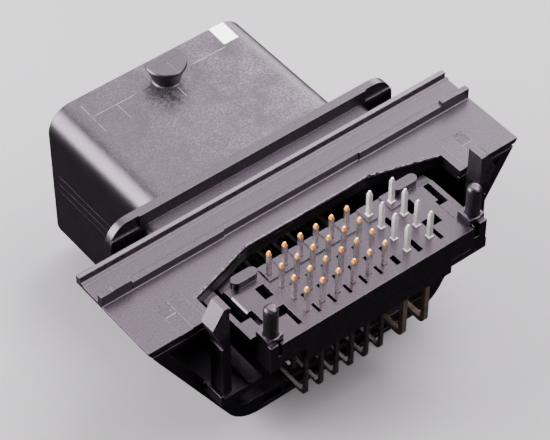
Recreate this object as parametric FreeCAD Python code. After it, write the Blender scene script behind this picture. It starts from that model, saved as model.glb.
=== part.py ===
import FreeCAD, Part
import math
import os

# Sealed right-angle board header, in millimetres.
# +X runs along the board's edge, +Y towards the mouth of the hood, +Z away from the board's seat.
# The origin lies midway between the two locating posts, in the plane on which the board rests.

# Contact grid
row_count = 4
row_pitch = 3.0
last_row_y = 1.15
signal_columns = 6
signal_pitch = 3.0
signal_first_x = -12.0
power_columns = 2
power_pitch = 4.5
power_first_x = 7.5

# Contacts
signal_size = 0.64
signal_tip_z = 3.85
signal_point_length = 0.55
signal_point_size = 0.34
power_body_size = 0.92
power_tail_size = 0.70
power_shoulder_height = 0.25
power_tip_z = 4.27
power_point_length = 0.75
power_point_size = 0.30
lowest_contact_z = -20.65
contact_row_rise = 3.0
bend_inner_radius = 0.5
blade_length = 15.25
blade_point_length = 0.9

# Locating posts and the blocks that carry them.
# A size named from_post is a distance outwards from the axis of the post on that side.
post_spacing = 39.2
post_radius = 1.175
post_top_z = 5.9
post_dome = 0.8
post_root_fillet = 0.2
block_half_width = 1.45
block_front_y = -1.15
block_back_y = 1.75
block_bottom_z = -6.3
block_slot_width = 1.0
block_slot_top_z = -0.9
block_slot_bottom_z = -3.6
block_slot_depth = 1.5
arm_from_post = (-4.0, -0.7)

# Pin alignment plate
plate_top_z = -1.25
plate_thickness = 2.0
plate_front_y = -1.85
plate_back_y = 12.1
plate_left_from_post = -0.3
plate_right_from_post = 0.55
plate_to_block = 0.05
plate_nose_left_from_post = -0.6
plate_nose_right_from_post = -1.2
plate_ramp_x = 17.4
plate_ramp_front_y = 10.06
plate_ramp_step = 0.08
plate_ramp_drop = 0.6
plate_edge_chamfer = 0.28
contact_clearance = 0.05
skirt_thickness = 1.5
skirt_depth = 7.2
skirt_half_width = 14.3
short_skirt_depth = 4.4
seat_boss_inner_x = 13.4
seat_boss_outer_x = 18.05
seat_boss_front_y = 10.6
seat_boss_back_y = 12.4
collar_half_width = 0.8
power_collar_half_width = 0.9
collar_front = 1.3
collar_height = 0.3
slot_width = 0.55
slot_from_column = 1.2
slot_spans_y = ((6.15, 6.85), (3.05, 4.15), (-0.25, 1.65))
first_power_slot_x = (4.3, 5.25)
first_power_slot_spans_y = ((3.05, 4.15), (-0.25, 1.65))
second_power_slot_x = (8.6, 9.6)
second_power_slot_spans_y = ((6.3, 8.3), (-0.25, 2.35))
left_window_x = (-15.5, -13.85)
left_window_y = (6.55, 9.25)
right_window_x = (12.9, 14.75)
right_window_y = (6.35, 9.05)
tongue_slot_y = (-0.3, 2.5)
tongue_head_y = (2.5, 4.25)
left_tongue_slot_x = (-14.7, -13.9)
left_tongue_head_x = (-16.0, -13.9)
right_tongue_slot_x = (12.95, 13.7)
right_tongue_head_x = (12.95, 15.8)
right_latch_slot_from_post = (-1.5, -0.3)
right_latch_slot_y = (5.15, 9.85)
right_latch_foot_from_post = (-2.1, -1.5)
right_latch_foot_y = (5.15, 6.15)
latch_seam_from_post = -2.15
latch_seam_width = 0.1
latch_seam_depth = 0.4
left_latch_from_post = (2.4, -0.2)
left_latch_back_y = 5.15
left_strip_width = 0.8
left_strip_back_y = 7.65
latch_gap_from_post = -1.25
latch_gap_y = (3.15, 6.15)

# Rear shell and its top wall
half_width = 36.0
knee_z = -0.35
side_lean = 0.582
shell_front_y = 7.85
shell_depth = 11.6
shell_bottom_z = -28.5
shell_top_wall = 2.4
shell_side_wall = 2.0
shell_bottom_wall = 3.5
shell_corner_radius = 7.0
shell_inner_radius = 3.5
front_line_z = -0.95
front_line_height = 0.55
front_line_depth = 0.4
bottom_pocket_pitch = 4.4
bottom_pocket_wall = 0.9
bottom_pocket_depth = 8.0
bottom_pocket_count = 7

# Opening in the top wall for the plate and the contacts
window_half_width = 24.05
window_side_back_y = 12.15
window_back_half_width = 11.8
window_back_y = 15.85
window_edge_round = 0.6
pad_inner_x = 25.3
pad_outer_x = 27.9
pad_back_y = 14.7
pad_height = 0.1
side_recess_outer_x = 30.1
side_recess_back_y = 14.45
side_recess_depth = 0.1
rest_x = (28.45, 29.55)
rest_back_y = 10.6
rest_height = 0.2
rest_edge = 0.15

# Sealing flange
lip_z = 1.5
lip_end_z = 2.1
lip_depth = 1.0
lip_middle_half = 13.3
lip_middle_setback = 0.2
lip_end_x = 30.35
lip_slit_width = 0.1
lip_step_x = 33.8
lip_step_drop = 0.12
lip_foot = 0.12
flange_flat_z = 0.25
flange_flat_depth = 3.75
bead_ramp_depth = 0.4
bead_depth = 0.25
bead_z = 0.6
seal_groove_width = 0.35
seal_groove_drop = 0.45
back_bead_depth = 0.8
back_bead_front_z = 1.2
back_bead_z = 1.39
back_bead_edge = 0.15
flange_wall = 3.2
flange_roof = 3.15
web_thickness = 2.0

# Neck, rim and hood
neck_half_width = 22.3
neck_half_height = 14.75
neck_radius = 2.0
neck_depth = 2.75
rim_half_width = 27.8
rim_half_height = 17.2
rim_foot_half_width = 20.5
rim_knee_z = -13.5
rim_radius = 3.9
rim_thickness = 1.6
rim_step_drop = 2.4
rim_step_depth = 0.25
hood_width = 39.0
hood_height = 29.7
hood_radius = 4.5
hood_wall = 1.8
hood_length = 27.6
hood_mid_z = -14.5
hood_mouth_round = 0.2

# Lever boss on the hood
boss_x = 0.45
boss_from_mouth = 5.2
boss_flat_from_axis = 1.42
boss_neck_radius = 2.3
boss_foot = 0.2
boss_head_radius = 3.47
boss_rise = 3.7
boss_head_thickness = 0.75
boss_edge = 0.2

# Board hooks and the shelves under them
hook_inner_x = 24.35
hook_ridge_x = 25.3
hook_nose_x = 27.4
hook_nose_z = 2.55
hook_top_z = 5.85
hook_heel_x = 25.6
hook_heel_z = -2.35
hook_front_y = 3.65
hook_back_y = 6.65
hook_column_inner_x = 24.2
hook_column_outer_x = 25.8
shelf_top_z = -13.55
shelf_thickness = 1.4
shelf_front_y = 3.25
shelf_inner_x = 18.65
shelf_outer_x = 26.5
shelf_rib_x = 20.8
shelf_lip_height = 0.7
shelf_lip_width = 0.6
ledge_from_post = (0.4, 2.8)
ledge_front_y = 9.15
ledge_back_y = 13.15
ledge_top_z = -2.35
ledge_thickness = 1.2

# Places worked out from the sizes above
cut = 0.5
flange_front_y = shell_front_y + shell_depth
flat_start_y = flange_front_y + lip_depth
ramp_start_y = flat_start_y + flange_flat_depth
groove_start_y = ramp_start_y + bead_ramp_depth + bead_depth
back_bead_start_y = groove_start_y + seal_groove_width
flange_back_y = back_bead_start_y + back_bead_depth
web_front_y = flange_back_y - web_thickness
neck_back_y = flange_back_y + neck_depth
rim_back_y = neck_back_y + rim_thickness
mouth_y = rim_back_y + hood_length
hood_top_z = hood_mid_z + hood_height / 2
rim_top_z = hood_mid_z + rim_half_height
rim_bottom_z = hood_mid_z - rim_half_height
plate_bottom_z = plate_top_z - plate_thickness
post_x = post_spacing / 2
arm_x = [post_x + out for out in arm_from_post]
plate_left_x = -post_x - plate_left_from_post
plate_right_x = post_x + plate_right_from_post
plate_nose_left_x = -post_x - plate_nose_left_from_post
plate_nose_right_x = post_x + plate_nose_right_from_post
right_latch_slot_x = [post_x + out for out in right_latch_slot_from_post]
right_latch_foot_x = [post_x + out for out in right_latch_foot_from_post]
latch_seam_x = post_x + latch_seam_from_post
left_latch_x = [-post_x - out for out in left_latch_from_post]
latch_gap_x = -post_x - latch_gap_from_post
ledge_x = [-post_x - out for out in ledge_from_post]
lean_factor = math.hypot(1.0, side_lean)
first_row_y = last_row_y + (row_count - 1) * row_pitch
signal_xs = [signal_first_x + i * signal_pitch for i in range(signal_columns)]
power_xs = [power_first_x + i * power_pitch for i in range(power_columns)]
row_ys = [first_row_y - i * row_pitch for i in range(row_count)]
row_zs = [lowest_contact_z + (row_count - 1 - i) * contact_row_rise for i in range(row_count)]


def box(x0, x1, y0, y1, z0, z1):
    """Box between two corners, given in any order along each axis."""
    low = FreeCAD.Vector(min(x0, x1), min(y0, y1), min(z0, z1))
    return Part.makeBox(abs(x1 - x0), abs(y1 - y0), abs(z1 - z0), low)


def place(axis, a, b, along):
    """Point of a flat drawing, lifted into space at one place along the axis it is drawn across."""
    if axis == "x":
        return FreeCAD.Vector(along, a, b)
    if axis == "y":
        return FreeCAD.Vector(a, along, b)
    return FreeCAD.Vector(a, b, along)


def corner_arc(before, corner, after, radius):
    """Start, middle and end of the arc that rounds one corner of a drawing."""
    to_before = (before - corner).normalize()
    to_after = (after - corner).normalize()
    half_angle = to_before.getAngle(to_after) / 2
    reach = radius / math.tan(half_angle)
    middle_line = (to_before + to_after).normalize()
    middle = corner + middle_line * (radius / math.sin(half_angle) - radius)
    return corner + to_before * reach, middle, corner + to_after * reach


def prism(axis, points, radii, low, high):
    """Solid drawn across one axis, its corners rounded by their own radii, between two places on it."""
    corners = [place(axis, a, b, low) for a, b in points]
    stretches = []
    for i, corner in enumerate(corners):
        after = corners[(i + 1) % len(corners)]
        if radii[i] > 0:
            stretches.append(corner_arc(corners[i - 1], corner, after, radii[i]))
        else:
            stretches.append((corner,))
    edges = []
    for i, stretch in enumerate(stretches):
        if len(stretch) == 3:
            edges.append(Part.Arc(*stretch).toShape())
        start = stretch[-1]
        end = stretches[(i + 1) % len(stretches)][0]
        if start.distanceToPoint(end) > 1e-6:
            edges.append(Part.makeLine(start, end))
    face = Part.Face(Part.Wire(edges))
    return face.extrude(place(axis, 0, 0, high - low))


def plain_prism(axis, points, low, high):
    """Solid drawn across one axis with sharp corners."""
    return prism(axis, points, [0] * len(points), low, high)


def rounded_bar(half_x, half_z, mid_z, radius, y0, y1):
    """Bar along Y with a rounded rectangle as its section."""
    low = mid_z - half_z
    high = mid_z + half_z
    points = [(-half_x, low), (half_x, low), (half_x, high), (-half_x, high)]
    return prism("y", points, [radius] * 4, y0, y1)


def mirrored(shape):
    """Copy of a shape on the other side of the middle plane."""
    return shape.mirror(FreeCAD.Vector(0, 0, 0), FreeCAD.Vector(1, 0, 0))


def both_sides(shape):
    """A shape on the right and its mirror image on the left."""
    return [shape, mirrored(shape)]


def joined(shapes):
    """All shapes as one solid, with the seams between flush faces taken out."""
    return shapes[0].fuse(shapes[1:]).removeSplitter()


def side_x(z, inset):
    """Distance from the middle plane to the leaning side, moved inwards by an inset."""
    return half_width - side_lean * (knee_z - z) - inset * lean_factor


def tapered_bar(top, bottom, inset, corner_radius, y0, y1):
    """Bar along Y with a tapered section: upright at its widest, then leaning in to the bottom."""
    foot = side_x(bottom, inset)
    wide = half_width - inset
    knee = knee_z + inset * (lean_factor - 1) / side_lean
    if top > knee:
        points = [(-foot, bottom), (foot, bottom), (wide, knee), (wide, top), (-wide, top), (-wide, knee)]
    else:
        shoulder = side_x(top, inset)
        points = [(-foot, bottom), (foot, bottom), (shoulder, top), (-shoulder, top)]
    radii = [corner_radius] * 2 + [0] * (len(points) - 2)
    return prism("y", points, radii, y0, y1)


def top_wall_window():
    """Stock to take out of the shell's top wall, open towards the front."""
    front = shell_front_y - cut
    points = [
        (-window_half_width, front),
        (window_half_width, front),
        (window_half_width, window_side_back_y),
        (window_back_half_width, window_back_y),
        (-window_back_half_width, window_back_y),
        (-window_half_width, window_side_back_y),
    ]
    return plain_prism("z", points, -shell_top_wall - cut, cut)


def window_edges(shape):
    """Top edges along the slanted and straight back of the window."""
    found = []
    for edge in shape.Edges:
        ends = [vertex.Point for vertex in edge.Vertexes]
        on_top = all(abs(p.z) < 1e-6 for p in ends)
        on_back = all(abs(p.x) < window_half_width + cut / 2 for p in ends)
        behind = all(window_side_back_y - cut / 2 < p.y < window_back_y + cut / 2 for p in ends)
        if on_top and on_back and behind:
            found.append(edge)
    return found


def bottom_pockets():
    """Cored pockets in the shell's bottom wall, opening to the front."""
    low = shell_bottom_z + bottom_pocket_wall
    high = shell_bottom_z + shell_bottom_wall - bottom_pocket_wall
    half = (bottom_pocket_pitch - bottom_pocket_wall) / 2
    first = -bottom_pocket_pitch * (bottom_pocket_count - 1) / 2
    pockets = []
    for i in range(bottom_pocket_count):
        mid = first + i * bottom_pocket_pitch
        pockets.append(box(mid - half, mid + half, shell_front_y - cut,
                           shell_front_y + bottom_pocket_depth, low, high))
    return pockets


def rear_shell():
    """Tapered shell behind the flange, open at the front, with the window in its top wall."""
    outer = tapered_bar(0, shell_bottom_z, 0, shell_corner_radius, shell_front_y, flange_front_y)
    hollow = tapered_bar(-shell_top_wall, shell_bottom_z + shell_bottom_wall, shell_side_wall,
                         shell_inner_radius, shell_front_y - cut, flange_front_y + cut)
    shell = outer.cut([hollow, top_wall_window()])
    shell = shell.makeFillet(window_edge_round, window_edges(shell))
    line = box(window_half_width - cut, half_width + cut, shell_front_y - cut,
               shell_front_y + front_line_depth, front_line_z - front_line_height, front_line_z)
    recess = box(pad_outer_x, side_recess_outer_x, shell_front_y - cut, side_recess_back_y, -side_recess_depth, cut)
    return shell.cut(both_sides(line) + both_sides(recess) + bottom_pockets())


def board_pads():
    """Low pads beside the window, and the rounded rest beyond the right-hand one."""
    pad = box(pad_inner_x, pad_outer_x, shell_front_y, pad_back_y, -side_recess_depth, pad_height)
    inner, outer = rest_x
    section = [(inner, -cut), (outer, -cut), (outer, rest_height), (inner, rest_height)]
    rest = prism("y", section, [0, 0, rest_edge, rest_edge], shell_front_y, rest_back_y)
    return both_sides(pad) + [rest]


def across(points, radii):
    """Solid from a drawing seen along X, as wide as the flange."""
    return prism("x", points, radii, -half_width, half_width)


def flange_beads():
    """Ramp up to the seal groove and the rounded bead behind it, along the flange's top."""
    bead_front = ramp_start_y + bead_ramp_depth
    ramp = [
        (ramp_start_y, 0),
        (groove_start_y, 0),
        (groove_start_y, bead_z),
        (bead_front, bead_z),
        (ramp_start_y, flange_flat_z),
    ]
    back = [
        (back_bead_start_y, 0),
        (flange_back_y, 0),
        (flange_back_y, back_bead_z),
        (back_bead_start_y, back_bead_front_z),
    ]
    return [across(ramp, [0] * len(ramp)), across(back, [0, 0, back_bead_edge, back_bead_edge])]


def flange_lip():
    """Lip along the front of the flange's top: a long middle part and a higher, stepped end on each side."""
    middle = box(-lip_end_x, lip_end_x, flange_front_y, flat_start_y, 0, lip_z)
    start = lip_end_x + lip_slit_width
    end = box(start, half_width, flange_front_y, flat_start_y, 0, lip_end_z - lip_step_drop)
    raised = box(start, lip_step_x, flange_front_y, flat_start_y, 0, lip_end_z)
    return [middle] + both_sides(joined([end, raised]))


def lip_foot_line(x0, x1, y):
    """Small slanted foot where the lip's front stands on the shell's top."""
    points = [(y - lip_foot, -lip_foot), (y, -lip_foot), (y, lip_foot), (y - lip_foot, 0)]
    return plain_prism("x", points, x0, x1)


def seal_groove():
    """Stock to take out for the seal groove, all round the flange."""
    slab = box(-half_width - cut, half_width + cut, groove_start_y, back_bead_start_y,
               rim_bottom_z - cut, lip_end_z + cut)
    core = tapered_bar(flange_flat_z - seal_groove_drop, rim_bottom_z + seal_groove_drop, seal_groove_drop,
                       shell_corner_radius - seal_groove_drop, groove_start_y - cut, back_bead_start_y + cut)
    return slab.cut(core)


def sealing_flange():
    """Flange round the neck: lip, flat, ramp, seal groove and back bead, closed by a web at the back."""
    body = tapered_bar(flange_flat_z, rim_bottom_z, 0, shell_corner_radius, flange_front_y, flange_back_y)
    hollow = tapered_bar(flange_flat_z - flange_roof, rim_bottom_z + 2 * flange_wall, flange_wall,
                         shell_inner_radius, flange_front_y - cut, web_front_y)
    setback = box(-lip_middle_half, lip_middle_half, flange_front_y - cut, flange_front_y + lip_middle_setback,
                  0, lip_end_z)
    flange = joined([body] + flange_beads() + flange_lip()).cut([hollow, seal_groove(), setback])
    feet = both_sides(lip_foot_line(lip_middle_half, half_width, flange_front_y))
    feet.append(lip_foot_line(-lip_middle_half, lip_middle_half, flange_front_y + lip_middle_setback))
    return joined([flange] + feet)


def neck_and_rim():
    """Neck behind the flange and the rim plate that stands round it."""
    neck = rounded_bar(neck_half_width, neck_half_height, hood_mid_z, neck_radius, flange_back_y, neck_back_y)
    outline = [
        (-rim_foot_half_width, rim_bottom_z),
        (rim_foot_half_width, rim_bottom_z),
        (rim_half_width, rim_knee_z),
        (rim_half_width, rim_top_z),
        (-rim_half_width, rim_top_z),
        (-rim_half_width, rim_knee_z),
    ]
    radii = [rim_radius, rim_radius, 0, rim_radius, rim_radius, 0]
    rim = prism("y", outline, radii, neck_back_y, rim_back_y)
    top_step = box(neck_half_width, rim_half_width + cut, neck_back_y - cut, neck_back_y + rim_step_depth,
                   rim_top_z - rim_step_drop, rim_top_z + cut)
    return [neck, rim.cut(both_sides(top_step))]


def hood():
    """Hood that the mating plug enters, a rounded tube open at its mouth."""
    outer = rounded_bar(hood_width / 2, hood_height / 2, hood_mid_z, hood_radius, rim_back_y, mouth_y)
    rim_edges = [edge for edge in outer.Edges if all(abs(v.Y - mouth_y) < 1e-6 for v in edge.Vertexes)]
    return outer.makeFillet(hood_mouth_round, rim_edges)


def hood_hollow():
    """Inside of the hood, from its floor at the neck's back to its mouth."""
    return rounded_bar(hood_width / 2 - hood_wall, hood_height / 2 - hood_wall, hood_mid_z,
                       hood_radius - hood_wall, neck_back_y, mouth_y + cut)


def lever_boss():
    """Boss on top of the hood for a plug's lever: an upturned cone with a flat head, cut flat towards the mouth."""
    y = mouth_y - boss_from_mouth
    root = hood_top_z - hood_wall / 2
    top = hood_top_z + boss_rise
    profile = [
        (0, root),
        (boss_neck_radius + boss_foot, root),
        (boss_neck_radius + boss_foot, hood_top_z),
        (boss_neck_radius, hood_top_z + boss_foot),
        (boss_head_radius - boss_edge, top - boss_head_thickness),
        (boss_head_radius, top - boss_head_thickness + boss_edge),
        (boss_head_radius, top - boss_edge),
        (boss_head_radius - boss_edge, top),
        (0, top),
    ]
    points = [FreeCAD.Vector(boss_x + r, y, z) for r, z in profile]
    face = Part.Face(Part.makePolygon(points + points[:1]))
    boss = face.revolve(FreeCAD.Vector(boss_x, y, 0), FreeCAD.Vector(0, 0, 1), 360)
    reach = boss_head_radius + cut
    flat = box(boss_x - reach, boss_x + reach, y + boss_flat_from_axis, y + reach, hood_top_z, top + cut)
    return boss.cut(flat)


def locating_post(x):
    """Round post with a domed head and a small fillet at its root."""
    radius = post_radius
    flat = radius - post_dome
    centre = FreeCAD.Vector(x, 0, 0)
    lines = [(0, -cut), (radius + post_root_fillet, -cut), (radius + post_root_fillet, 0)]
    points = [centre + FreeCAD.Vector(r, 0, z) for r, z in lines]
    edges = [Part.makeLine(a, b) for a, b in zip(points, points[1:])]
    root_middle = post_root_fillet * (1 - math.sqrt(0.5))
    root_arc = [
        (radius + post_root_fillet, 0),
        (radius + root_middle, root_middle),
        (radius, post_root_fillet),
    ]
    dome_middle = post_dome * (1 - math.sqrt(0.5))
    dome_arc = [
        (radius, post_top_z - post_dome),
        (radius - dome_middle, post_top_z - dome_middle),
        (flat, post_top_z),
    ]
    root_points = [centre + FreeCAD.Vector(r, 0, z) for r, z in root_arc]
    dome_points = [centre + FreeCAD.Vector(r, 0, z) for r, z in dome_arc]
    axis_top = centre + FreeCAD.Vector(0, 0, post_top_z)
    edges.append(Part.Arc(*root_points).toShape())
    edges.append(Part.makeLine(root_points[-1], dome_points[0]))
    edges.append(Part.Arc(*dome_points).toShape())
    edges.append(Part.makeLine(dome_points[-1], axis_top))
    edges.append(Part.makeLine(axis_top, points[0]))
    face = Part.Face(Part.Wire(edges))
    return face.revolve(centre, FreeCAD.Vector(0, 0, 1), 360)


def post_block(nose_x):
    """Right-hand block under a locating post, with an arm back to the web and a front rib beside a nose."""
    inner = post_x - block_half_width
    outer = post_x + block_half_width
    block = box(inner, outer, block_front_y, block_back_y, block_bottom_z, 0)
    rib = box(nose_x + plate_to_block, outer, plate_front_y, block_front_y, block_bottom_z, block_slot_top_z)
    slot = box(post_x - block_slot_width, post_x, plate_front_y - cut, plate_front_y + block_slot_depth,
               block_slot_bottom_z, block_slot_top_z)
    arm = box(*arm_x, plate_front_y + skirt_thickness + plate_to_block, web_front_y,
              block_bottom_z, plate_bottom_z)
    return joined([block, rib, arm]).cut(slot)


def hook():
    """Right-hand hook that snaps over the board's edge, on its column."""
    outline = [
        (hook_column_inner_x, hook_heel_z - cut),
        (hook_heel_x, hook_heel_z - cut),
        (hook_heel_x, hook_heel_z),
        (hook_nose_x, hook_nose_z),
        (hook_ridge_x, hook_top_z),
        (hook_inner_x, hook_top_z),
        (hook_inner_x, hook_heel_z + cut),
        (hook_column_inner_x, hook_heel_z),
    ]
    head = plain_prism("y", outline, hook_front_y, hook_back_y)
    column = box(hook_column_inner_x, hook_column_outer_x, hook_front_y, hook_back_y,
                 shelf_top_z - shelf_thickness, hook_heel_z - cut)
    return joined([head, column])


def hook_shelf():
    """Right-hand shelf that carries the hook, from the front bar back to the web."""
    low = shelf_top_z - shelf_thickness
    shelf = box(shelf_inner_x, shelf_outer_x, shelf_front_y, web_front_y, low, shelf_top_z)
    lip_top = shelf_top_z + shelf_lip_height
    outer_lip = box(shelf_outer_x - shelf_lip_width, shelf_outer_x, shelf_front_y, hook_back_y + shelf_lip_width,
                    shelf_top_z, lip_top)
    rib = box(shelf_rib_x, shelf_rib_x + shelf_lip_width, shelf_front_y, web_front_y, shelf_top_z, lip_top)
    return joined([shelf, outer_lip, rib])


def left_ledge():
    """Small ledge beside the left end of the plate, on a rib from the window's slanted edge."""
    return box(*ledge_x, ledge_front_y, ledge_back_y + 2 * cut, ledge_top_z - ledge_thickness, ledge_top_z)


def contact_holes():
    """Square holes through the web and the neck, in which the contacts are a press fit."""
    holes = []
    for size, xs in ((signal_size, signal_xs), (power_body_size, power_xs)):
        half = size / 2
        for x in xs:
            for z in row_zs:
                holes.append(box(x - half, x + half, web_front_y - cut, neck_back_y + cut, z - half, z + half))
    return holes


def housing():
    """The housing, one moulding from the hood's mouth to the hooks and posts."""
    body = [rear_shell(), sealing_flange(), hood(), lever_boss(), left_ledge()] + neck_and_rim() + board_pads()
    body += [post_block(plate_nose_right_x), mirrored(post_block(-plate_nose_left_x))]
    for side in (hook(), hook_shelf(), locating_post(post_x)):
        body += both_sides(side)
    solid = joined(body)
    return solid.cut([hood_hollow()] + contact_holes())


def plate_outline():
    """Seen from above, the plate with the latch at its left end and notches round the post blocks."""
    inner = post_x - block_half_width - plate_to_block
    front = block_front_y - plate_to_block
    behind = block_back_y + plate_to_block
    latch_left, latch_right = left_latch_x
    strip_right = latch_left + left_strip_width
    gap_front, gap_back = latch_gap_y
    return [
        (plate_nose_left_x, plate_front_y),
        (plate_nose_right_x, plate_front_y),
        (plate_nose_right_x, front),
        (inner, front),
        (inner, behind),
        (plate_right_x, behind),
        (plate_right_x, plate_back_y),
        (plate_left_x, plate_back_y),
        (plate_left_x, gap_back),
        (latch_gap_x, gap_back),
        (latch_gap_x, gap_front),
        (latch_right, gap_front),
        (latch_right, left_latch_back_y),
        (strip_right, left_latch_back_y),
        (strip_right, left_strip_back_y),
        (latch_left, left_strip_back_y),
        (latch_left, behind),
        (-inner, behind),
        (-inner, front),
        (plate_nose_left_x, front),
    ]


def plate_skirt():
    """Front wall of the plate, deeper between the post blocks than beside them."""
    back = plate_front_y + skirt_thickness
    front_of_block = block_front_y - plate_to_block
    short_bottom = plate_top_z - short_skirt_depth
    inner = post_x - block_half_width - plate_to_block
    deep = box(-skirt_half_width, skirt_half_width, plate_front_y, back, plate_top_z - skirt_depth, plate_top_z)
    wide = box(-inner, inner, plate_front_y, back, short_bottom, plate_top_z)
    noses = box(plate_nose_left_x, plate_nose_right_x, plate_front_y, front_of_block, short_bottom, plate_top_z)
    return [deep, wide, noses]


def seat_boss():
    """Long rounded boss at a back corner of the plate, whose top carries the board."""
    radius = (seat_boss_back_y - seat_boss_front_y) / 2
    points = [
        (seat_boss_inner_x, seat_boss_front_y),
        (seat_boss_outer_x, seat_boss_front_y),
        (seat_boss_outer_x, seat_boss_back_y),
        (seat_boss_inner_x, seat_boss_back_y),
    ]
    return prism("z", points, [radius] * 4, plate_bottom_z, 0)


def row_collars():
    """Low raised collars round the row of contacts next to the plate's back edge."""
    collars = []
    for half, xs in ((collar_half_width, signal_xs), (power_collar_half_width, power_xs)):
        for x in xs:
            collars.append(box(x - half, x + half, first_row_y - collar_front, plate_back_y,
                               plate_top_z - cut, plate_top_z + collar_height))
    return collars


def plate_slot(span_x, span_y):
    """Straight slot right through the plate."""
    return box(*span_x, *span_y, plate_bottom_z - cut, plate_top_z + cut)


def plate_slots():
    """Slots between the columns, the windows and tongue slots at both ends, and the latch slots."""
    slots = []
    for x in signal_xs[:-1]:
        start = x + slot_from_column
        for span in slot_spans_y:
            slots.append(plate_slot((start, start + slot_width), span))
    for span in first_power_slot_spans_y:
        slots.append(plate_slot(first_power_slot_x, span))
    for span in second_power_slot_spans_y:
        slots.append(plate_slot(second_power_slot_x, span))
    slots.append(plate_slot(left_window_x, left_window_y))
    slots.append(plate_slot(right_window_x, right_window_y))
    for slot_x, head_x in ((left_tongue_slot_x, left_tongue_head_x), (right_tongue_slot_x, right_tongue_head_x)):
        slots.append(plate_slot(slot_x, tongue_slot_y))
        slots.append(plate_slot(head_x, tongue_head_y))
    slots.append(plate_slot(right_latch_slot_x, right_latch_slot_y))
    slots.append(plate_slot(right_latch_foot_x, right_latch_foot_y))
    return slots


def plate_contact_holes():
    """Holes for the contacts, each wider than its contact by the clearance on every side."""
    holes = []
    for size, xs in ((signal_size, signal_xs), (power_body_size, power_xs)):
        half = size / 2 + contact_clearance
        for x in xs:
            for y in row_ys:
                holes.append(box(x - half, x + half, y - half, y + half,
                                 plate_bottom_z - cut, plate_top_z + collar_height + cut))
    return holes


def plate_edge_cuts():
    """Ramps down to the back beside the seat bosses, and the chamfer along the left edge."""
    back = plate_back_y + cut
    wedge = [
        (plate_ramp_front_y, plate_top_z - plate_ramp_step),
        (back, plate_top_z - plate_ramp_drop),
        (back, plate_top_z + cut),
        (plate_ramp_front_y, plate_top_z + cut),
    ]
    ramp = plain_prism("x", wedge, plate_ramp_x, plate_right_x + cut)
    low = plate_top_z - plate_edge_chamfer - cut
    corner = [
        (plate_left_x - cut, low),
        (plate_left_x + plate_edge_chamfer + cut, plate_top_z + cut),
        (plate_left_x - cut, plate_top_z + cut),
    ]
    chamfer = plain_prism("y", corner, latch_gap_y[1], plate_ramp_front_y)
    return both_sides(ramp) + [chamfer]


def alignment_plate():
    """Slotted plate that holds the contact tails in line, seated on the arms of the housing."""
    floor = plain_prism("z", plate_outline(), plate_bottom_z, plate_top_z).cut(plate_edge_cuts())
    solid = joined([floor] + plate_skirt() + both_sides(seat_boss()) + row_collars())
    seam = box(latch_seam_x, latch_seam_x + latch_seam_width, block_back_y, right_latch_slot_y[0],
               plate_top_z - latch_seam_depth, plate_top_z + cut)
    return solid.cut(plate_slots() + plate_contact_holes() + [seam])


def square_loop(centre, half, axis):
    """Closed square wire about a centre, square to one axis."""
    corners = [(-half, -half), (half, -half), (half, half), (-half, half)]
    points = [centre + place(axis, a, b, 0) for a, b in corners]
    return Part.makePolygon(points + points[:1])


def square_taper(start, end, start_size, end_size, axis):
    """Four-sided taper between two squares, for a contact's point."""
    loops = [square_loop(start, start_size / 2, axis), square_loop(end, end_size / 2, axis)]
    return Part.makeLoft(loops, True, True)


def bent_contact(x, y, z, size, leg_top_z, blade_start_y):
    """Leg down from the board and blade along Y into the hood, joined by a round bend."""
    half = size / 2
    outer = bend_inner_radius + size
    points = [
        (y - half, z - half),
        (blade_start_y, z - half),
        (blade_start_y, z + half),
        (y + half, z + half),
        (y + half, leg_top_z),
        (y - half, leg_top_z),
    ]
    return prism("x", points, [outer, 0, 0, bend_inner_radius, 0, 0], x - half, x + half)


def blade_point(x, z, size):
    """Tapered tip of a blade inside the hood."""
    tip_y = neck_back_y + blade_length
    start = FreeCAD.Vector(x, tip_y - blade_point_length, z)
    end = FreeCAD.Vector(x, tip_y, z)
    return square_taper(start, end, size, size / 2, "y")


def signal_contact(x, y, z):
    """Square signal contact with a point at each end."""
    shaft_top = signal_tip_z - signal_point_length
    blade_end = neck_back_y + blade_length - blade_point_length
    body = bent_contact(x, y, z, signal_size, shaft_top, blade_end)
    start = FreeCAD.Vector(x, y, shaft_top)
    end = FreeCAD.Vector(x, y, signal_tip_z)
    point = square_taper(start, end, signal_size, signal_point_size, "z")
    return joined([body, point, blade_point(x, z, signal_size)])


def power_contact(x, y, z):
    """Wider power contact, stepped down to a slimmer tail above the plate."""
    shoulder = plate_top_z + power_shoulder_height
    if y > first_row_y - row_pitch / 2:
        shoulder = plate_top_z + collar_height + power_shoulder_height
    tail_top = power_tip_z - power_point_length
    blade_end = neck_back_y + blade_length - blade_point_length
    half = power_tail_size / 2
    body = bent_contact(x, y, z, power_body_size, shoulder, blade_end)
    tail = box(x - half, x + half, y - half, y + half, shoulder, tail_top)
    start = FreeCAD.Vector(x, y, tail_top)
    end = FreeCAD.Vector(x, y, power_tip_z)
    point = square_taper(start, end, power_tail_size, power_point_size, "z")
    return joined([body, tail, point, blade_point(x, z, power_body_size)])


def contacts():
    """Every contact by name, lettered by row from the hood side and numbered by column."""
    named = {}
    for letter, y, z in zip("abcd", row_ys, row_zs):
        for i, x in enumerate(signal_xs):
            named[f"signal_contact_{letter}{i + 1}"] = signal_contact(x, y, z)
        for i, x in enumerate(power_xs):
            named[f"power_contact_{letter}{i + 1}"] = power_contact(x, y, z)
    return named


os.makedirs("parts", exist_ok=True)
pieces = {"housing": housing(), "alignment_plate": alignment_plate()}
pieces.update(contacts())
for name, shape in pieces.items():
    shape.exportStep(f"parts/{name}.step")
    print(name, len(shape.Solids), shape.isValid(), round(shape.Volume, 2))
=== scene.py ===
import math

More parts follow.
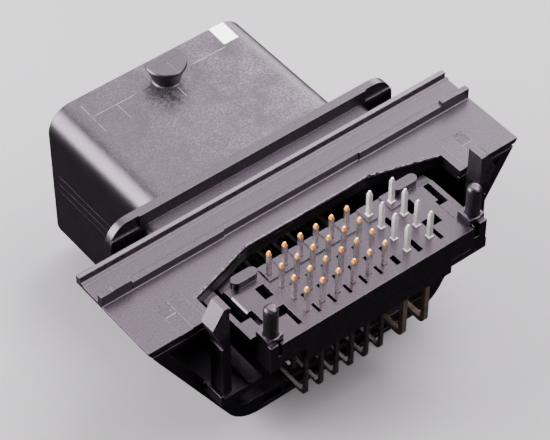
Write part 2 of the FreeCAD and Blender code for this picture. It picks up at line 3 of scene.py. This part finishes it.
import bpy
import numpy as np
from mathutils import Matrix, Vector


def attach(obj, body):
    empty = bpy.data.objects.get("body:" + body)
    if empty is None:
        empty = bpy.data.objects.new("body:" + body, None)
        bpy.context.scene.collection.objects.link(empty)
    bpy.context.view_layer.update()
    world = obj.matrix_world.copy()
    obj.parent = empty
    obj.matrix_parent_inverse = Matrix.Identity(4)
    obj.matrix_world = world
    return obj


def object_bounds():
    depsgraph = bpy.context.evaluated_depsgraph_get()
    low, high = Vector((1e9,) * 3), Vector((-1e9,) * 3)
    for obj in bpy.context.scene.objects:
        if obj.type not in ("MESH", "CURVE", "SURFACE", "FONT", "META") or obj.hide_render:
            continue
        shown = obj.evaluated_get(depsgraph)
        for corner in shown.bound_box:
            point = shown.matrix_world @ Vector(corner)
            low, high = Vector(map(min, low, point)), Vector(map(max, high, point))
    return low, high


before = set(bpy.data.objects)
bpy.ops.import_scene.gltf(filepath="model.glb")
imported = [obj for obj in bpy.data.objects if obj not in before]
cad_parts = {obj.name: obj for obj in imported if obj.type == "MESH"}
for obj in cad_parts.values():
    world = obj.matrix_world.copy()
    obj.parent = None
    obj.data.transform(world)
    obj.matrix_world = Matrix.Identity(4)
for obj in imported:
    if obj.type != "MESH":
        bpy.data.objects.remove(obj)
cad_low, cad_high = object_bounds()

# Sizes and places below are in millimetres, and become metres through MM.
MM = 0.001

# Camera at the photograph's viewing angle, with its two angles in degrees
camera_azimuth = -38.258
camera_elevation = 46.806
camera_aim = (-5.053, 17.488, 0.0)
camera_distance = 358.432
camera_lens = 153.807
camera_sensor = 36.0
camera_near = 10.0
camera_far = 20000.0

# Hood: its mouth, top, sides and rounded corners, and the rim it starts from
mouth_y = 57.95
mouth_round = 0.2
hood_top = 0.35
hood_side_x = 19.5
hood_corner = 4.5
rim_back_y = 30.35

# Frost: it grows from the hood's left to its right, and ends a little below the hood's shoulder
frost_left_x = -17.0
frost_right_x = 14.0
hood_shoulder_z = -1.2

# Faces above this height carry the fine grey speckle.
upper_faces_z = -0.15

# Lever boss on the hood
boss_x = 0.45
boss_y = 52.75
boss_top = 4.05

# Flange: its flat, the groove in its top, and the neck behind it
flange_flat_z = 0.25
groove_y = (24.92, 25.32)
groove_z = (-0.5, 1.12)
neck_y = (26.05, 28.7)
neck_z = (0.1, 0.5)

# Sloping ends of the shell's window
window_edge_y = (11.9, 16.6)
window_edge_z = (-0.8, -0.03)

# Contacts: the gold of their points, their bends below the plate, and their blades in the hood
gold_from_z = 3.12
bend_z = -3.4
blade_from_y = 29.9
tail_back_y = 28.0

# The plastic's reflections have a faint lilac cast.
plastic_tint = (1.0, 0.81, 1.0, 1)

# Fine lines: where they run along the hood's top and along the flange
top_line_y = 52.8
flange_line_y = 21.6
flange_line_x = 30.0

# Floor and light
floor_half_width = 3000.0
floor_clearance = 0.02
lamp_colour = (1.0, 0.96, 1.0)
sky_colour = (0.94, 0.91, 0.96, 1)
sky_strength = 0.04


class Wire:
    """A socket of a material. Arithmetic on it adds Math nodes, and add() adds any other node."""

    def __init__(self, tree, socket=None):
        self.tree = tree
        self.socket = socket

    def add(self, kind, settings, sockets, output=0):
        """A node from its type, its settings, and its sockets' values or links by name or number."""
        node = self.tree.nodes.new("ShaderNode" + kind)
        for name, value in settings.items():
            setattr(node, name, value)
        for key, value in sockets.items():
            if isinstance(value, Wire):
                self.tree.links.new(value.socket, node.inputs[key])
            else:
                node.inputs[key].default_value = value
        return Wire(self.tree, node.outputs[output] if len(node.outputs) else None)

    def maths(self, operation, *values):
        """A Math node on numbers or wires."""
        return self.add("Math", {"operation": operation}, dict(enumerate(values)))

    def __add__(self, other):
        return self.maths("ADD", self, other)

    def __sub__(self, other):
        return self.maths("SUBTRACT", self, other)

    def __rsub__(self, other):
        return self.maths("SUBTRACT", other, self)

    def __mul__(self, other):
        return self.maths("MULTIPLY", self, other)

    __radd__ = __add__
    __rmul__ = __mul__

    def step(self, low, high, at_low, at_high):
        """A smooth step from one value at low to another at high."""
        return self.add("MapRange", {"interpolation_type": "SMOOTHSTEP"},
                        {0: self, 1: low, 2: high, 3: at_low, 4: at_high})

    def rise(self, low, high):
        """0 at low, 1 at high, and a smooth step between them."""
        return self.step(low, high, 0.0, 1.0)

    def fall(self, low, high):
        """1 at low, 0 at high, and a smooth step between them."""
        return self.step(low, high, 1.0, 0.0)

    def past(self, start, full):
        """0 before one place in millimetres, 1 past another, and a smooth step between them."""
        return self.rise(start * MM, full * MM)

    def before(self, full, end):
        """1 before one place in millimetres, 0 past another, and a smooth step between them."""
        return self.fall(full * MM, end * MM)

    def within(self, ends, soft):
        """1 between two places in millimetres, 0 outside them, with soft edges."""
        low, high = ends
        return self.past(low - soft, low + soft) * self.before(high - soft, high + soft)

    def blend(self, start, end):
        """Colour between start and end, by this wire's value."""
        return self.add("Mix", {"data_type": "RGBA"}, {0: self, 6: start, 7: end}, output=2)


class Finish:
    """A material's coordinates, its masks and its shader."""

    def __init__(self, name):
        self.material = bpy.data.materials.new(name)
        self.material.use_nodes = True
        self.tree = self.material.node_tree
        self.tree.nodes.clear()
        self.root = Wire(self.tree)
        self.place = self.root.add("TexCoord", {}, {}, output="Object")
        self.x, self.y, self.z = (self.root.add("SeparateXYZ", {}, {0: self.place}, output=axis)
                                  for axis in range(3))

    def noise(self, size, detail=2.0, roughness=0.5, stretch=None):
        """Noise from 0 to 1 whose features are about size millimetres across."""
        place = self.place
        if stretch:
            place = self.root.add("VectorMath", {"operation": "MULTIPLY"}, {0: place, 1: stretch})
        return self.root.add("TexNoise", {}, {"Vector": place, "Scale": 1.0 / (size * MM),
                                              "Detail": detail, "Roughness": roughness})

    def drawn_lines(self, size):
        """Fine lines along a contact: upright in its tail, and towards the hood below the plate."""
        squeeze = 0.06
        tail = self.z.past(bend_z - 0.2, bend_z + 0.2)
        upright = self.noise(size, 3.0, 0.6, stretch=(1.0, 1.0, squeeze))
        level = self.noise(size, 3.0, 0.6, stretch=(1.0, squeeze, 1.0))
        return tail * upright + (1 - tail) * level

    def rounded_edges(self, radius):
        """Normal rounded over sharp edges, and a mask: 1 on outer edges and 0 on flat faces.

        The mask comes from how far the rounded normal turns away from the face's own normal."""
        rounded = self.root.add("Bevel", {"samples": 4}, {"Radius": radius * MM})
        flat = self.root.add("NewGeometry", {}, {}, output="True Normal")
        agree = self.root.add("VectorMath", {"operation": "DOT_PRODUCT"}, {0: rounded, 1: flat},
                              output="Value")
        return rounded, agree.fall(0.80, 0.995)

    def shade(self, sockets, height, depth, normal=None):
        """The shader and its output, with a bump of some depth in millimetres from a height wire."""
        bump = {"Strength": 1.0, "Distance": depth * MM, "Height": height}
        if normal is not None:
            bump["Normal"] = normal
        relief = self.root.add("Bump", {}, bump)
        shader = self.root.add("BsdfPrincipled", {}, {**sockets, "Normal": relief})
        self.root.add("OutputMaterial", {}, {"Surface": shader})
        return self.material


def housing_plastic():
    """Black moulded plastic: frosted and blotchy on the hood, smoother on the shell.

    Frost is the milky tone on the hood's top and right corner. The same grey on the neck and in the
    groove is painted light that lifts those shaded places. The upper faces carry a fine grey speckle,
    the outer edges are a little paler, partly from wear and partly as a painted edge highlight, and
    the window's sloping ends are glossier and gently wavy."""
    black, charcoal = (0.0016, 0.0013, 0.0018, 1), (0.0032, 0.0026, 0.0034, 1)
    speckle_grey, frost_and_painted_light_grey = (0.019, 0.0159, 0.0196, 1), (0.080, 0.068, 0.082, 1)
    worn_and_highlight_grey, speck_grey = (0.075, 0.064, 0.077, 1), (0.20, 0.175, 0.20, 1)
    f = Finish("black_housing_plastic")
    blotch = f.noise(3.6, 4.0, 0.6)
    cloud = f.noise(11.0, 2.0)
    grain = f.noise(0.27, 3.0, 0.6)
    fine = f.noise(0.12, 2.0)
    behind_rim = f.y.past(rim_back_y + 0.05, rim_back_y + 0.5)
    on_hood = behind_rim * f.z.past(hood_shoulder_z, hood_top - 0.25)
    towards_right = 0.20 + 0.80 * f.x.past(frost_left_x, frost_right_x)
    right_corner = on_hood * f.x.past(frost_right_x, frost_right_x + 2.5)
    on_neck = f.y.within(neck_y, 0.05) * f.z.within(neck_z, 0.05)
    in_groove = f.y.within(groove_y, 0.04) * f.z.within(groove_z, 0.06)
    under_boss = f.z.before(hood_top + 0.15, hood_top + 0.55)
    frost_and_painted_light = on_hood * under_boss * towards_right * (0.55 * blotch + 0.45 * cloud).rise(0.36, 0.62)
    # Painted light: the shaded neck and groove get the frost grey so that they look lit.
    frost_and_painted_light = frost_and_painted_light + 0.15 * on_neck + 0.70 * in_groove
    frost_and_painted_light = f.root.maths("MAXIMUM", frost_and_painted_light, 0.75 * right_corner)
    speckle = grain.rise(0.42, 0.62)
    upper = f.z.past(upper_faces_z - 0.30, upper_faces_z)
    window_edge = f.y.within(window_edge_y, 0.1) * f.z.within(window_edge_z, 0.02)
    rounded, edge = f.rounded_edges(0.13)
    speck = f.noise(0.5, 1.0).rise(0.74, 0.80)
    tone = (0.35 * grain + 0.35 * blotch + 0.3 * cloud).rise(0.3, 0.7)
    colour = tone.blend(black, charcoal)
    colour = (upper * speckle).blend(colour, speckle_grey)
    # The frost grey here also carries the painted light on the neck and in the groove.
    colour = (frost_and_painted_light * (0.15 + 0.85 * speckle)).blend(colour, frost_and_painted_light_grey)
    # Outer edges painted paler: partly wear, partly a painted edge highlight.
    colour = (edge * 0.35).blend(colour, worn_and_highlight_grey)
    colour = (speck * upper * 0.12).blend(colour, speck_grey)
    rough = 0.35 + 0.08 * (blotch - 0.5) + 0.14 * (grain - 0.5) + 0.10 * frost_and_painted_light + 0.18 * on_neck
    rough = rough - 0.20 * window_edge - 0.06 * edge
    wave = f.noise(1.3, 2.0) * window_edge
    height = 0.6 * grain + 0.4 * fine + 0.8 * frost_and_painted_light * fine + 14.0 * wave
    return f.shade({"Base Color": colour, "Roughness": rough, "IOR": 1.52,
                    "Specular Tint": plastic_tint}, height, 0.012, rounded)


def plate_plastic():
    """Smoother black plastic of the alignment plate, which mirrors the pins faintly."""
    black, charcoal = (0.0026, 0.0022, 0.0029, 1), (0.0048, 0.0040, 0.0052, 1)
    worn_and_highlight_grey = (0.070, 0.062, 0.072, 1)
    f = Finish("black_plate_plastic")
    blotch = f.noise(2.4, 3.0, 0.55)
    grain = f.noise(0.25, 2.0, 0.6)
    fine = f.noise(0.10, 2.0)
    rounded, edge = f.rounded_edges(0.10)
    tone = (0.5 * grain + 0.5 * blotch).rise(0.3, 0.7)
    colour = tone.blend(black, charcoal)
    # Outer edges painted paler: partly wear, partly a painted edge highlight.
    colour = (edge * 0.35).blend(colour, worn_and_highlight_grey)
    rough = 0.26 + 0.07 * (blotch - 0.5) + 0.09 * (grain - 0.5)
    return f.shade({"Base Color": colour, "Roughness": rough, "IOR": 1.50,
                    "Specular Tint": plastic_tint}, 0.5 * grain + 0.5 * fine, 0.006, rounded)


def signal_metal():
    """Signal contact: dull plated shaft with drawn lines, gold at its point and along its blade.

    Below the plate the shaft is darker: painted shade."""
    dull_plating, bright_plating = (0.42, 0.39, 0.39, 1), (0.56, 0.52, 0.51, 1)
    shade_dark_metal = (0.115, 0.102, 0.095, 1)
    deep_gold, light_gold = (0.90, 0.33, 0.055, 1), (0.98, 0.50, 0.13, 1)
    f = Finish("signal_contact_plating")
    point = f.z.past(gold_from_z - 0.10, gold_from_z + 0.05)
    gold = point + f.y.past(blade_from_y, blade_from_y + 0.6)
    drawn = f.drawn_lines(0.22)
    stain = f.noise(0.9, 3.0, 0.6)
    rounded, edge = f.rounded_edges(0.05)
    below = f.z.before(bend_z, bend_z + 0.4)
    shaft = stain.rise(0.3, 0.7).blend(dull_plating, bright_plating)
    # Painted shade: the shaft is darkened below the plate.
    shaft = (below * 0.85).blend(shaft, shade_dark_metal)
    warm = stain.rise(0.35, 0.65).blend(deep_gold, light_gold)
    colour = gold.blend(shaft, warm)
    rough = 0.27 + 0.18 * (drawn - 0.5) + 0.10 * (stain - 0.5) - 0.05 * edge + 0.10 * gold
    metallic = 0.95 - 0.30 * gold
    return f.shade({"Base Color": colour, "Metallic": metallic, "Roughness": rough},
                   drawn, 0.002, rounded)


def power_metal():
    """Power contact: matt bright tin above the plate, and a dark brownish painted shade below it."""
    dull_tin, bright_tin = (0.46, 0.43, 0.425, 1), (0.60, 0.565, 0.56, 1)
    dark_shade_brown, light_shade_brown = (0.085, 0.060, 0.048, 1), (0.15, 0.108, 0.086, 1)
    f = Finish("power_contact_plating")
    drawn = f.drawn_lines(0.26)
    stain = f.noise(1.1, 3.0, 0.6)
    rounded, edge = f.rounded_edges(0.06)
    below = f.z.before(bend_z, bend_z + 0.3)
    shaded_tail = below * f.y.before(tail_back_y, tail_back_y + 0.6)
    tin = stain.rise(0.3, 0.7).blend(dull_tin, bright_tin)
    shade_brown = stain.rise(0.3, 0.7).blend(dark_shade_brown, light_shade_brown)
    # Painted shade: dark brown below the plate, in front of the hood.
    colour = shaded_tail.blend(tin, shade_brown)
    rough = 0.44 + 0.14 * (drawn - 0.5) + 0.14 * (stain - 0.5) - 0.05 * edge
    return f.shade({"Base Color": colour, "Metallic": 0.6, "Roughness": rough},
                   drawn, 0.006, rounded)


def mark_paint():
    """Plain white pad-printed paint with a faint grain."""
    f = Finish("white_mark_paint")
    grain = f.noise(0.18, 3.0, 0.6)
    patch = f.noise(1.2, 2.0)
    tone = (0.5 * grain + 0.5 * patch).rise(0.25, 0.7)
    colour = tone.blend((0.92, 0.92, 0.92, 1), (0.98, 0.98, 0.98, 1))
    rough = 0.36 + 0.2 * (grain - 0.5)
    return f.shade({"Base Color": colour, "Roughness": rough}, grain, 0.006)


def pale_line_finish():
    """The same black plastic, paler in patches along the fine raised lines."""
    f = Finish("pale_line_plastic")
    grain = f.noise(0.30, 3.0, 0.6)
    run = f.noise(2.6, 2.0)
    pale = (0.5 * grain + 0.5 * run).rise(0.36, 0.60)
    colour = pale.blend((0.012, 0.010, 0.012, 1), (0.15, 0.132, 0.152, 1))
    return f.shade({"Base Color": colour, "Roughness": 0.45, "IOR": 1.52}, grain, 0.006)


def floor_paper():
    """Pale studio paper with a very faint tone."""
    f = Finish("pale_floor_paper")
    fibre = f.noise(0.8, 3.0, 0.6)
    cloud = f.noise(60.0, 2.0)
    tone = (0.4 * fibre + 0.6 * cloud).rise(0.2, 0.8)
    colour = tone.blend((0.25, 0.245, 0.25, 1), (0.28, 0.275, 0.28, 1))
    return f.shade({"Base Color": colour, "Roughness": 0.85}, fibre, 0.01)


def grid_faces(rows, columns, closed):
    """Four-cornered faces of a grid of points stored row by row.

    A closed grid also joins its last column to its first."""
    across = columns if closed else columns - 1
    r, c = np.meshgrid(np.arange(rows - 1), np.arange(across), indexing="ij")
    n = (c + 1) % columns
    corners = [r * columns + c, r * columns + n, (r + 1) * columns + n, (r + 1) * columns + c]
    return np.stack(corners, axis=-1).reshape(-1, 4)


def new_piece(name, points, faces, finish):
    """A smooth mesh from points in millimetres, riding on the header, with the finish it is given."""
    mesh = bpy.data.meshes.new(name)
    mesh.from_pydata((np.asarray(points) * MM).tolist(), [], [list(map(int, f)) for f in faces])
    mesh.validate()
    mesh.shade_smooth()
    piece = bpy.data.objects.new(name, mesh)
    bpy.context.scene.collection.objects.link(piece)
    mesh.materials.append(finish)
    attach(piece, "root")


def hood_height(x):
    """Height of the hood's outside: its flat top, then the quarter circle of its corner."""
    past = np.clip(np.abs(x) - (hood_side_x - hood_corner), 0, hood_corner)
    return hood_top - hood_corner + np.sqrt(hood_corner ** 2 - past ** 2)


def white_mark(finish):
    """The plain white mark: flat on the hood, then over the quarter circle of the mouth's edge.

    Along the mark, the profile runs straight and then turns by its angle about the edge's centre, while
    the mark leans a little to the right. Across it, the height follows the hood's top and corner. Its
    sides waver by the sum of two sines along it, and its front end by one sine across it. Its rim is
    turned down into the hood."""
    left_x, width, lean, start_y = 12.67, 2.94, 0.19, 53.38
    film = 0.02
    sunk = 2 * film
    turned_over = 62
    columns, straight, turned = 33, 26, 10
    centre_y = mouth_y - mouth_round
    radius = mouth_round + film
    angle = np.radians(np.linspace(0, turned_over, turned + 1)[1:])
    y = np.concatenate([np.linspace(start_y, centre_y, straight), centre_y + radius * np.sin(angle)])
    rise = np.concatenate([np.full(straight, film), radius * np.cos(angle) - mouth_round])
    # The first and last rows and columns are doubled, and the outer ones become the sunk rim.
    y, rise = (np.concatenate([a[:1], a, a[-1:]]) for a in (y, rise))
    across = np.linspace(0, 1, columns)
    across = np.concatenate([across[:1], across, across[-1:]])
    u, along = np.meshgrid(across, np.arange(len(y)), indexing="ij")
    yy, up = y[along], rise[along]
    waver = 0.02 * np.sin(yy * 9.0) + 0.012 * np.sin(yy * 23.0 + 1.0)
    xx = left_x + lean * (yy - start_y) / (mouth_y - start_y) + width * u + waver * (2 * u - 1)
    yy = yy + 0.02 * np.sin(u * 17.0) * (along < straight)
    rim = np.zeros(u.shape, bool)
    rim[[0, -1], :] = True
    rim[:, [0, -1]] = True
    flat = along <= straight
    zz = hood_height(xx) + up
    zz = np.where(rim & flat, zz - sunk, zz)
    yy = np.where(rim & ~flat, yy - sunk, yy)
    points = np.stack([xx, yy, zz], axis=-1).reshape(-1, 3)
    new_piece("white_mark", points, grid_faces(*u.shape, False), finish)


def bead(start, end, out, half_width, height):
    """A low raised line between two points.

    It is an ellipse carried straight along, shrinking to almost nothing over a twelfth of the length at
    each end."""
    start, end, out = (np.asarray(v, float) for v in (start, end, out))
    stations, sides, taper, least = 25, 12, 12, 0.02
    way = end - start
    side = np.cross(way / np.linalg.norm(way), out)
    t = np.linspace(0, 1, stations)
    size = np.clip(np.minimum(t, 1 - t) * taper, least, 1)
    turn = np.linspace(0, 2 * np.pi, sides, endpoint=False)
    ring = half_width * np.cos(turn)[:, None] * side + height * np.sin(turn)[:, None] * out
    points = start + t[:, None, None] * way + size[:, None, None] * ring
    faces = grid_faces(stations, sides, True).tolist()
    first = list(range(sides))
    last = [(stations - 1) * sides + i for i in range(sides)]
    return points.reshape(-1, 3), faces + [first, last[::-1]]


def fine_lines(name, lines, finish):
    """Fine moulding lines as one piece of low beads."""
    points, faces, count = [], [], 0
    for line in lines:
        p, f = bead(*line)
        points.append(p)
        faces += [[i + count for i in face] for face in f]
        count += len(p)
    new_piece(name, np.concatenate(points), faces, finish)


def parting_lines(pale, black):
    """Pale fine lines on the hood's top, and black ones elsewhere.

    The black ones are by the boss and on it, along the flange and on the hood's left side. Each line is
    given by its two ends, the way it stands out, its half width and its height."""
    up, left = (0, 0, 1), (-1, 0, 0)
    top, side = hood_top, -hood_side_x
    fine_lines("hood_top_lines", [
        ((-13.95, top_line_y, top), (-3.9, top_line_y, top), up, 0.065, 0.02),
        ((2.95, top_line_y, top), (12.8, top_line_y, top), up, 0.11, 0.05),
        ((-14.15, 56.3, top), (-14.3, 48.3, top), up, 0.045, 0.015),
        ((boss_x + 0.15, 50.2, top), (boss_x + 0.1, 47.4, top), up, 0.08, 0.04),
        ((-9.4, top_line_y, top), (-9.35, 48.7, top), up, 0.035, 0.012),
    ], pale)
    fine_lines("hood_dark_lines", [
        ((-4.4, top_line_y, top), (-2.3, top_line_y, top), up, 0.11, 0.03),
        ((boss_x - 3.1, boss_y + 0.02, boss_top), (boss_x + 3.1, boss_y + 0.02, boss_top),
         up, 0.05, 0.02),
        ((boss_x, boss_y, boss_top), (boss_x, boss_y - 2.9, boss_top), up, 0.05, 0.015),
        ((-flange_line_x, flange_line_y, flange_flat_z), (flange_line_x, flange_line_y, flange_flat_z),
         up, 0.05, 0.02),
        ((side, 57.0, -12.2), (side, 37.5, -12.3), left, 0.035, 0.008),
        ((side, 57.2, -14.05), (side, 36.5, -13.9), left, 0.035, 0.008),
        ((side, 57.4, -15.75), (side, 40.5, -15.7), left, 0.03, 0.006),
    ], black)


def studio_floor(finish):
    """A wide plane just under the header's lowest edge. The plastic doesn't mirror it."""
    half = floor_half_width
    z = cad_low.z / MM - floor_clearance
    points = np.array([(-half, -half, z), (half, -half, z), (half, half, z), (-half, half, z)]) * MM
    mesh = bpy.data.meshes.new("studio_floor")
    mesh.from_pydata(points.tolist(), [], [(0, 1, 2, 3)])
    mesh.materials.append(finish)
    floor = bpy.data.objects.new("studio_floor", mesh)
    floor.visible_glossy = False
    bpy.context.scene.collection.objects.link(floor)


def soft_light(name, direction, distance, width, height, power):
    """A rectangular lamp of some watts at a direction from the header, facing it."""
    data = bpy.data.lights.new(name, "AREA")
    data.shape = "RECTANGLE"
    data.size = width * MM
    data.size_y = height * MM
    data.energy = power
    data.color = lamp_colour
    lamp = bpy.data.objects.new(name, data)
    back = Vector(direction).normalized()
    lamp.location = Vector(camera_aim) * MM + back * distance * MM
    lamp.rotation_euler = back.to_track_quat("Z", "Y").to_euler()
    bpy.context.scene.collection.objects.link(lamp)


def studio_light():
    """Soft boxes behind, above and in front, a bright one at the left and a weak one at the right."""
    soft_light("back_soft_box", (0.41, 0.48, 0.78), 620, 760, 560, 7.0)
    soft_light("left_soft_box", (-0.75, 0.565, 0.41), 560, 380, 440, 16.8)
    soft_light("right_soft_box", (0.80, 0.45, 0.30), 560, 300, 300, 3.0)
    soft_light("top_soft_box", (0.42, -0.02, 0.90), 650, 420, 260, 7.8)
    soft_light("front_soft_box", (0.50, -0.48, 0.72), 725, 500, 420, 7.3)
    world = bpy.data.worlds.new("studio_sky")
    world.use_nodes = True
    sky = world.node_tree.nodes["Background"]
    sky.inputs["Color"].default_value = sky_colour
    sky.inputs["Strength"].default_value = sky_strength
    bpy.context.scene.world = world


def photo_camera():
    """The camera, turned round its aim by the photograph's azimuth and elevation."""
    azimuth, elevation = math.radians(camera_azimuth), math.radians(camera_elevation)
    back = Vector((math.sin(azimuth) * math.cos(elevation), -math.cos(azimuth) * math.cos(elevation),
                   math.sin(elevation)))
    data = bpy.data.cameras.new("photo_camera")
    data.sensor_width = camera_sensor
    data.lens = camera_lens
    data.clip_start = camera_near * MM
    data.clip_end = camera_far * MM
    camera = bpy.data.objects.new("photo_camera", data)
    camera.location = (Vector(camera_aim) + back * camera_distance) * MM
    camera.rotation_euler = (-back).to_track_quat("-Z", "Y").to_euler()
    bpy.context.scene.collection.objects.link(camera)
    bpy.context.scene.camera = camera


def finish_nodes(finishes):
    """Gives each CAD node the finish whose name starts the node's name."""
    for name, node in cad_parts.items():
        finish = next(finishes[start] for start in finishes if name.startswith(start))
        for slot in node.material_slots:
            slot.material = finish


photo_camera()
studio_light()
studio_floor(floor_paper())
housing_finish = housing_plastic()
finish_nodes({
    "housing": housing_finish,
    "alignment_plate": plate_plastic(),
    "signal_contact": signal_metal(),
    "power_contact": power_metal(),
})
white_mark(mark_paint())
parting_lines(pale_line_finish(), housing_finish)
